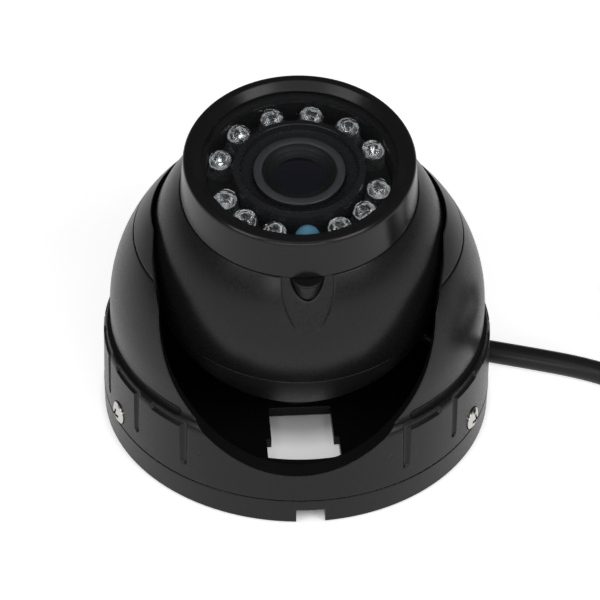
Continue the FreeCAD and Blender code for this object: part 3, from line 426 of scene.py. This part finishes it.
def islands(node):
    """The separate solids of a node, each as a list of points in the frame's space."""
    mesh = bmesh.new()
    mesh.from_mesh(NODES[node].data)
    bmesh.ops.remove_doubles(mesh, verts=mesh.verts, dist=WELD)
    left, groups = set(mesh.verts), []
    while left:
        heap, group = [left.pop()], []
        while heap:
            vertex = heap.pop()
            group.append(vertex.co.copy())
            for edge in vertex.link_edges:
                other = edge.other_vert(vertex)
                if other in left:
                    left.remove(other)
                    heap.append(other)
        groups.append(group)
    mesh.free()
    return groups


# ---------------------------------------------------------------- operators

class DOMECAM_OT_camera(bpy.types.Operator):
    """Place the camera in front of the dome"""
    bl_idname = "domecam.camera"
    bl_label = "Camera"

    def execute(self, context):
        props = context.scene.domecam_stage
        data = bpy.data.cameras.new("camera")
        camera = bpy.data.objects.new("camera", data)
        context.scene.collection.objects.link(camera)
        target = Vector((0, 0, props.target_height))
        way = Vector((0, -math.cos(props.elevation), math.sin(props.elevation)))
        turn = Matrix.Rotation(math.radians(90) - props.elevation, 4, "X")
        roll = Matrix.Rotation(props.roll, 4, "Z")
        camera.matrix_world = (Matrix.Translation(target + way * props.distance) @ turn @ roll)
        data.sensor_width = 36
        data.lens = props.focal
        data.shift_x = props.shift
        data.shift_y = props.rise
        data.clip_start = 0.01
        context.scene.camera = camera
        return {"FINISHED"}


# The cable's line, in metres: along the floor, twice round the coil and up to the connector.
CABLE_START = (0.039454, 0.014150, 0.00305)
FLOOR_RUN = ((0.0570, 0.0101, 0.00305), (0.0744, 0.0054, 0.00305), (0.0900, -0.0036, 0.00305))
COIL_OUTER, COIL_INNER, COIL_LEVEL = 0.0318, 0.0262, 0.00305
COIL_START = math.radians(-120)
COIL_PUSH = 0.0023  # how far the second turn's last point moves out over the first turn
TAIL_RADIUS, TAIL_LEVEL = 0.0305, 0.0087
TAIL_END = 5  # the connector's bearing from the coil's centre, in degrees
# Each row is a bearing before the connector in degrees, and a rise in millimetres.
TAIL_CLIMB = ((114, 0.0), (95, 0.25), (76, 1.0), (57, 2.2), (38, 3.6), (19, 4.8), (0, 4.8))


def bearing(turn):
    return Vector((math.cos(turn), math.sin(turn), 0))


class DOMECAM_OT_cable(bpy.types.Operator):
    """Lay the cable from the gland along the floor, into its coil and up to the connector"""
    bl_idname = "domecam.cable"
    bl_label = "Cable"

    def execute(self, context):
        props = context.scene.domecam_cable
        start = Vector(CABLE_START)
        centre = box_centre("cable_coil")
        centre.z = 0
        route = [start, *FLOOR_RUN, *self.turns(centre, props), *self.tail(centre)]
        data = bpy.data.curves.new("cable_line", "CURVE")
        data.dimensions = "3D"
        data.bevel_depth = props.diameter / 2
        data.bevel_resolution = 5
        data.resolution_u = 6
        data.use_fill_caps = True
        spline = data.splines.new("NURBS")
        spline.points.add(len(route) - 1)
        for point, place in zip(spline.points, route):
            point.co = (*place, 1)
        spline.order_u = 3
        spline.use_endpoint_u = True
        line = bpy.data.objects.new("cable_line", data)
        context.scene.collection.objects.link(line)
        line.data.materials.append(cable_jacket(props))
        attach(line, "base")
        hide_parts("cable", "cable_coil", "cable_tail")
        return {"FINISHED"}

    def turns(self, centre, props):
        """Two turns: the first moves inward at its end, where the second climbs over it."""
        count = props.points_per_turn
        # Point by point, the share of the way inward and the climb in metres.
        inward = {count - 2: 0.18, count - 1: 0.75}
        climbs = {2 * count - 3: 0.0004, 2 * count - 2: 0.0048, 2 * count - 1: 0.0060}
        shrink = math.cos(math.pi / count)
        points = []
        for index in range(2 * count):
            turn = COIL_START + 2 * math.pi * index / count
            share = inward.get(index, 0.0 if index < count else 1.0)
            climb = climbs.get(index, 0.0)
            radius = COIL_OUTER + (COIL_INNER - COIL_OUTER) * share
            if index == 2 * count - 1:
                radius += COIL_PUSH
            points.append(centre + bearing(turn) * radius / shrink
                          + Vector((0, 0, COIL_LEVEL + climb)))
        return points

    def tail(self, centre):
        """Along the top of the coil and up level into the connector."""
        return [centre + bearing(math.radians(TAIL_END - back)) * TAIL_RADIUS
                + Vector((0, 0, TAIL_LEVEL + rise * MM)) for back, rise in TAIL_CLIMB]


class DOMECAM_OT_finishes(bpy.types.Operator):
    """Give every carried-over piece its paint, rubber, glass or metal"""
    bl_idname = "domecam.finishes"
    bl_label = "Finishes"

    def execute(self, context):
        paint, cable = context.scene.domecam_paint, context.scene.domecam_cable
        dress(["dome_cover", "base_plate", "ball_front_shell"], case_paint(paint))
        dress(["ball_rear_shell"], surface("rear_paint", paint.colour, 0.48, grain=1400.0,
                                           depth=0.000003, vary=0.14))
        dress(["lens_hood"], hood_paint(paint))
        dress(["opening_trim", "coil_tie"], trim_rubber())
        dress(["cover_seal", "ball_pad", "cable_gland", "ball_grommet", "shell_seal",
               "window_seal"], seal_rubber())
        dress(["front_window"], window_glass())
        dress(["led_board"], surface("board_black", (0.010, 0.010, 0.011), 0.45, grain=1400.0,
                                     depth=0.000005))
        dress(["sensor_board"], surface("board_green", (0.012, 0.09, 0.035), 0.38,
                                        grain=1100.0, depth=0.000006))
        dress(["lens_holder"],
              surface("shield_plastic", (0.009, 0.009, 0.010), 0.24, grain=1700.0,
                      depth=0.000002, edge=0.0004))
        dress(["lens_barrel"], surface("barrel_black", (0.016, 0.016, 0.017), 0.30,
                                       grain=1500.0, depth=0.000002, edge=0.0003))
        dress(["lens_glass"], coated_lens())
        dress(["image_sensor"], surface("chip_grey", (0.06, 0.07, 0.09), 0.2))
        dress(["cover_screws", "shell_screws", "board_screws"],
              surface("screw_steel", (0.60, 0.585, 0.56), 0.14, metal=1.0, grain=2500.0,
                      depth=0.000003, edge=0.0002, tone=0.2))
        dress(["standoffs", "plug_pins"],
              surface("post_brass", (0.68, 0.50, 0.22), 0.28, metal=1.0, grain=2000.0,
                      depth=0.000003))
        dress(["inner_lead"], cable_jacket(cable))
        dress(["cable_plug"], surface("plug_plastic", (0.012, 0.012, 0.013), 0.42,
                                      grain=1500.0, depth=0.000006, edge=0.0002))
        dress(["plug_nut"], surface("plug_metal", (0.60, 0.60, 0.60), 0.30, metal=1.0,
                                    grain=2200.0, depth=0.000004, tone=0.15))
        return {"FINISHED"}


LAMP_FLANGE = 0.001  # height of a lamp's wider foot
PLUG_FLANGE = 0.0006  # height of a plug's wider end
FLANGE_LIP = 0.0002  # how far the wider foot stands out from its barrel
SENSOR_DROP = 0.0002  # how much lower the light sensor is than a lamp
POST_GAP = 0.0002  # from a lamp's foot up to the post of its cup
# Widths of the cup's rim and of the ledge round its chip, as shares of the cup's radius.
CUP_RIM, CUP_LEDGE = 0.16, 0.2
# Width of the cup's floor against its mouth, and of its post's foot against the cup.
CUP_FLOOR, POST_FOOT = 0.55, 0.45
CHIP_RISE = 0.35  # the chip's height as a share of the cup's depth


def lamp_spots(node):
    """The foot of each lamp of a node, in the ball's own space."""
    inverse = BALL_SPACE.inverted()
    spots = []
    for group in islands(node):
        points = [inverse @ point for point in group]
        xs = [point.x for point in points]
        ys = [point.y for point in points]
        spots.append(Vector(((min(xs) + max(xs)) / 2, (min(ys) + max(ys)) / 2,
                             min(point.z for point in points))))
    return spots


def repeat_at(piece, spots, name):
    """One object holding a copy of the piece at every spot of the ball's space."""
    copies = []
    for spot in spots:
        copy = piece.copy()
        copy.data = piece.data.copy()
        bpy.context.scene.collection.objects.link(copy)
        copy.matrix_world = Matrix.Translation(spot)
        copies.append(copy)
    bpy.data.objects.remove(piece)
    clear_selection()
    for copy in copies:
        copy.select_set(True)
    bpy.context.view_layer.objects.active = copies[0]
    if len(copies) > 1:
        bpy.ops.object.join()
    return settle(named(name))


def clear_body(radius, height, flange):
    """A lamp's moulded body: round nose, straight barrel and a wider foot."""
    clear_selection()
    bpy.ops.mesh.primitive_uv_sphere_add(segments=32, ring_count=16, radius=radius,
                                         location=(0, 0, height - radius))
    body = named("lamp_body")
    edit(body)
    pick_faces(body, lambda face: face.calc_center_median().z < 0)
    bpy.ops.mesh.delete(type="FACE")
    bpy.ops.mesh.select_mode(type="EDGE")
    bpy.ops.mesh.select_non_manifold()
    bpy.ops.mesh.extrude_region_move(
        TRANSFORM_OT_translate={"value": (0, 0, radius + flange - height)})
    bpy.ops.mesh.extrude_region_move()
    bpy.ops.transform.resize(value=((radius + FLANGE_LIP) / radius,) * 2 + (1,))
    bpy.ops.mesh.extrude_region_move(TRANSFORM_OT_translate={"value": (0, 0, -flange)})
    bpy.ops.mesh.edge_face_add()
    bpy.ops.mesh.select_all(action="SELECT")
    bpy.ops.mesh.normals_make_consistent(inside=False)
    close_edit()
    place_into_mesh(body)
    return body


class DOMECAM_OT_lamps(bpy.types.Operator):
    """Mould each infrared lamp's clear body and its reflector cup, and the blue sensor"""
    bl_idname = "domecam.lamps"
    bl_label = "Lamps"

    def execute(self, context):
        props = context.scene.domecam_lamp
        spots = lamp_spots("infrared_leds")
        bodies = repeat_at(clear_body(props.radius, props.height, LAMP_FLANGE), spots,
                           "lamp_bodies")
        finish_piece(bodies, "ball", lamp_clear())
        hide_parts("infrared_leds")
        cups = repeat_at(self.make_cup(props), spots, "lamp_cups")
        metal = surface("cup_silver", (0.38, 0.38, 0.375), 0.16, metal=1.0, grain=3000.0,
                        depth=0.000002, tone=0.1)
        finish_piece(cups, "ball", metal)
        sensor = repeat_at(clear_body(props.radius, props.height - SENSOR_DROP, LAMP_FLANGE),
                           lamp_spots("light_sensor"), "sensor_body")
        finish_piece(sensor, "ball", sensor_tint())
        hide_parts("light_sensor")
        return {"FINISHED"}

    def make_cup(self, props):
        """A conical cup on its post, with its chip in the middle."""
        clear_selection()
        bpy.ops.mesh.primitive_cylinder_add(
            vertices=props.sides, radius=props.cup_radius, depth=props.cup_height - POST_GAP,
            location=(0, 0, (props.cup_height + POST_GAP) / 2))
        cup = named("lamp_cup")
        edit(cup)
        pick_faces(cup, lambda face: face.normal.z > 0.9)
        bpy.ops.mesh.inset(thickness=props.cup_radius * CUP_RIM)
        bpy.ops.mesh.extrude_region_move(
            TRANSFORM_OT_translate={"value": (0, 0, -props.cup_depth)})
        bpy.ops.transform.resize(value=(CUP_FLOOR, CUP_FLOOR, 1))
        bpy.ops.mesh.inset(thickness=props.cup_radius * CUP_LEDGE)
        bpy.ops.mesh.extrude_region_move(
            TRANSFORM_OT_translate={"value": (0, 0, props.cup_depth * CHIP_RISE)})
        pick_faces(cup, lambda face: face.normal.z < -0.9)
        bpy.ops.transform.resize(value=(POST_FOOT, POST_FOOT, 1))
        close_edit()
        place_into_mesh(cup)
        return cup


class DOMECAM_OT_ball(bpy.types.Operator):
    """Add the ball's rolled parting edge and the plugs over its two front screws"""
    bl_idname = "domecam.ball"
    bl_label = "Ball Details"

    def execute(self, context):
        props, paint = context.scene.domecam_ball, context.scene.domecam_paint
        clear_selection()
        bpy.ops.mesh.primitive_torus_add(
            major_radius=props.edge_radius, minor_radius=props.edge_bead, major_segments=192,
            minor_segments=12, location=(0, 0, props.edge_level))
        bead = settle(named("parting_edge"))
        finish_piece(bead, "ball", hood_paint(paint))
        plug = clear_body(props.plug_radius, props.plug_length, PLUG_FLANGE)
        plug.data.transform(Matrix.Rotation(math.pi, 4, "X"))
        spots = [Vector((math.sin(turn), -math.cos(turn), 0)) * props.plug_circle
                 + Vector((0, 0, props.plug_top)) for turn in (props.turn, props.turn + math.pi)]
        plugs = repeat_at(plug, spots, "screw_plugs")
        finish_piece(plugs, "ball", case_paint(paint))
        return {"FINISHED"}


# Outlines of the rings round the lens: each row is a radius and a height in millimetres.
SHIELD_ROWS = (
    (15.2, 23.3), (15.2, 28.8), (15.05, 29.2), (14.6, 29.4), (13.95, 29.4), (13.75, 29.52),
    (13.55, 29.38), (13.4, 28.7), (13.2, 27.9), (12.4, 27.5), (10.7, 27.1), (10.7, 20.0),
    (12.9, 20.0), (12.9, 23.3))
RIM_ROWS = (
    (9.9, 28.0), (10.45, 28.1), (10.5, 28.35), (10.35, 28.5), (9.4, 28.62), (8.75, 28.58),
    (8.55, 28.4), (8.55, 27.9))
BAFFLE_ROWS = (
    (8.5, 28.2), (8.0, 28.05), (7.3, 27.45), (7.22, 27.52), (7.05, 27.45), (6.35, 26.98),
    (6.27, 27.04), (6.10, 26.98), (5.60, 26.72), (5.60, 26.56))
RING_SIDES = 128
RING_WELD = 0.000005


def turned_ring(name, rows, closed=False):
    """A ring turned about the lens axis from the rows of its outline."""
    clear_selection()
    radius, level = rows[0]
    bpy.ops.mesh.primitive_circle_add(vertices=RING_SIDES, radius=radius * MM,
                                      location=(0, 0, level * MM))
    ring = named(name)
    edit(ring)
    bpy.ops.mesh.select_mode(type="EDGE")
    bpy.ops.mesh.select_all(action="SELECT")
    for reach, height in list(rows[1:]) + ([rows[0]] if closed else []):
        bpy.ops.mesh.extrude_region_move()
        bpy.ops.transform.resize(value=(reach / radius, reach / radius, 1))
        bpy.ops.transform.translate(value=(0, 0, (height - level) * MM))
        radius, level = reach, height
    bpy.ops.mesh.select_all(action="SELECT")
    if closed:
        bpy.ops.mesh.remove_doubles(threshold=RING_WELD)
    bpy.ops.mesh.normals_make_consistent(inside=False)
    close_edit()
    return settle(ring)


class DOMECAM_OT_lens(bpy.types.Operator):
    """Turn the lipped shield round the lens, the rim of its barrel and the matt baffle"""
    bl_idname = "domecam.lens"
    bl_label = "Lens Rings"

    def execute(self, context):
        shield = turned_ring("shield_ring", SHIELD_ROWS, closed=True)
        finish_piece(shield, "ball",
                     surface("shield_gloss", (0.012, 0.012, 0.013), 0.26, grain=1700.0,
                             depth=0.000001, vary=0.1))
        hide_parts("lens_shield")
        rim = turned_ring("barrel_rim", RIM_ROWS)
        finish_piece(rim, "ball",
                     surface("barrel_satin", (0.045, 0.045, 0.047), 0.34, grain=1500.0,
                             depth=0.000001, vary=0.1))
        baffle = turned_ring("lens_baffle", BAFFLE_ROWS)
        finish_piece(baffle, "ball",
                     surface("baffle_black", (0.005, 0.005, 0.0055), 0.5, grain=1500.0,
                             depth=0.000001))
        return {"FINISHED"}


FLOOR_SIZE, FLOOR_DROP = 6, 0.00005
# The floor's own light by distance from the case's axis, with painted shade and light:
# CASE_SHADOW_GLOW before and past CASE_SHADOW_EDGE, a painted contact shadow under and just round
# the case, and HOLE_POOL_GLOW, seen through the wire hole, before and past HOLE_POOL_EDGE as far
# as HOLE_POOL_REACH, a painted pool of light that grows brighter outward towards the slot.
CASE_SHADOW_EDGE, CASE_SHADOW_GLOW = (0.0425, 0.0485), (0.06, 1.0)
HOLE_POOL_EDGE, HOLE_POOL_GLOW = (0.0135, 0.0215), (0.0, 0.5)
HOLE_POOL_REACH = 0.041
# Each row is a name, a place, a width and height, and a power in watts.
LIGHTS = (
    ("key_left", (-0.45, -0.45, 0.50), (0.3, 0.5), 1.7),
    ("key_right", (0.45, -0.45, 0.50), (0.3, 0.5), 2.3),
    ("top", (0.0, -0.45, 0.80), (0.6, 0.3), 0.7),
    ("front", (0.0, -0.90, 0.35), (0.8, 0.3), 3.0))
LIGHT_AIM = Vector((0, 0, 0.03))
# The world's strength for rays that light the pieces, and for rays that show the background.
WORLD_LIGHT = (0.12, 1.0)


class DOMECAM_OT_stage(bpy.types.Operator):
    """Build the pale floor, the soft lamps and the surroundings"""
    bl_idname = "domecam.stage"
    bl_label = "Stage"

    def execute(self, context):
        props = context.scene.domecam_stage
        self.floor(props)
        self.lamps()
        self.surroundings(context.scene)
        context.scene.view_settings.view_transform = "Standard"
        return {"FINISHED"}

    def floor(self, props):
        clear_selection()
        bpy.ops.mesh.primitive_plane_add(size=FLOOR_SIZE, location=(0, 0, -FLOOR_DROP))
        floor = named("floor")
        material, tree, shader = new_material("pale_floor")
        cloud = noise(tree, 2.0, 2.0)
        tree.links.new(blend_colours(tree, cloud, (0.80, 0.80, 0.80), (0.84, 0.84, 0.84)),
                       shader.inputs["Base Color"])
        shader.inputs["Roughness"].default_value = 0.8
        shader.inputs["Specular IOR Level"].default_value = 0.0
        shader.inputs["Emission Color"].default_value = (1, 1, 1, 1)
        glow = maths(tree, "MULTIPLY", seen_rays(tree), props.floor_glow)
        path = tree.nodes.new("ShaderNodeLightPath")
        sheen = maths(tree, "MULTIPLY", path.outputs["Is Glossy Ray"], props.floor_sheen)
        most = maths(tree, "MAXIMUM", glow, sheen)
        # Painted contact shadow: under and round the case the floor's glow is cut down, and in the
        # wire hole it comes back as a painted pool of light.
        place = tree.nodes.new("ShaderNodeTexCoord")
        length = tree.nodes.new("ShaderNodeVectorMath")
        length.operation = "LENGTH"
        tree.links.new(place.outputs["Object"], length.inputs[0])
        reach = length.outputs["Value"]
        painted_case_shadow = spread(tree, reach, *CASE_SHADOW_GLOW, *CASE_SHADOW_EDGE)
        # Painted pool of light in the wire hole, brighter outward, cut off past its reach.
        inner = maths(tree, "MULTIPLY", spread(tree, reach, *HOLE_POOL_GLOW, *HOLE_POOL_EDGE),
                      maths(tree, "LESS_THAN", reach, HOLE_POOL_REACH))
        # The painted shade and light mask, which scales both the floor's glow and its sheen.
        clear = maths(tree, "MAXIMUM", painted_case_shadow, inner)
        tree.links.new(maths(tree, "MULTIPLY", most, clear), shader.inputs["Emission Strength"])
        floor.data.materials.append(material)

    def lamps(self):
        for name, place, size, power in LIGHTS:
            data = bpy.data.lights.new(name, "AREA")
            data.shape = "RECTANGLE"
            data.size, data.size_y = size
            data.energy = power
            lamp = bpy.data.objects.new(name, data)
            bpy.context.scene.collection.objects.link(lamp)
            aim = LIGHT_AIM - Vector(place)
            lamp.matrix_world = (Matrix.Translation(place)
                                 @ aim.to_track_quat("-Z", "Y").to_matrix().to_4x4())

    def surroundings(self, scene):
        world = bpy.data.worlds.new("surroundings")
        world.use_nodes = True
        tree = world.node_tree
        back = tree.nodes["Background"]
        back.inputs["Color"].default_value = (1, 1, 1, 1)
        strength = spread(tree, seen_rays(tree), *WORLD_LIGHT, 0.0, 1.0)
        tree.links.new(strength, back.inputs["Strength"])
        scene.world = world


class DOMECAM_PT_panel(bpy.types.Panel):
    """List the dressing steps in the sidebar"""
    bl_idname = "DOMECAM_PT_panel"
    bl_label = "Dome Camera"
    bl_space_type = "VIEW_3D"
    bl_region_type = "UI"
    bl_category = "Dome Camera"

    def draw(self, context):
        layout = self.layout
        for group in (getattr(context.scene, word) for word in GROUPS):
            column = layout.column(align=True)
            for word in group.__annotations__:
                column.prop(group, word)
        for operator in OPERATORS:
            layout.operator(operator.bl_idname)


OPERATORS = (DOMECAM_OT_camera, DOMECAM_OT_cable, DOMECAM_OT_finishes, DOMECAM_OT_lamps,
             DOMECAM_OT_ball, DOMECAM_OT_lens, DOMECAM_OT_stage)
GROUPS = {"domecam_paint": PaintProps, "domecam_ball": BallProps, "domecam_lamp": LampProps,
          "domecam_cable": CableProps, "domecam_stage": StageProps}
CLASSES = (*GROUPS.values(), *OPERATORS, DOMECAM_PT_panel)


def register():
    for item in CLASSES:
        bpy.utils.register_class(item)
    for word, group in GROUPS.items():
        setattr(bpy.types.Scene, word, PointerProperty(type=group))


def unregister():
    for word in GROUPS:
        delattr(bpy.types.Scene, word)
    for item in reversed(CLASSES):
        bpy.utils.unregister_class(item)


def main():
    register()
    for operator in OPERATORS:
        module, name = operator.bl_idname.split(".")
        getattr(getattr(bpy.ops, module), name)()


if __name__ == "__main__":
    main()
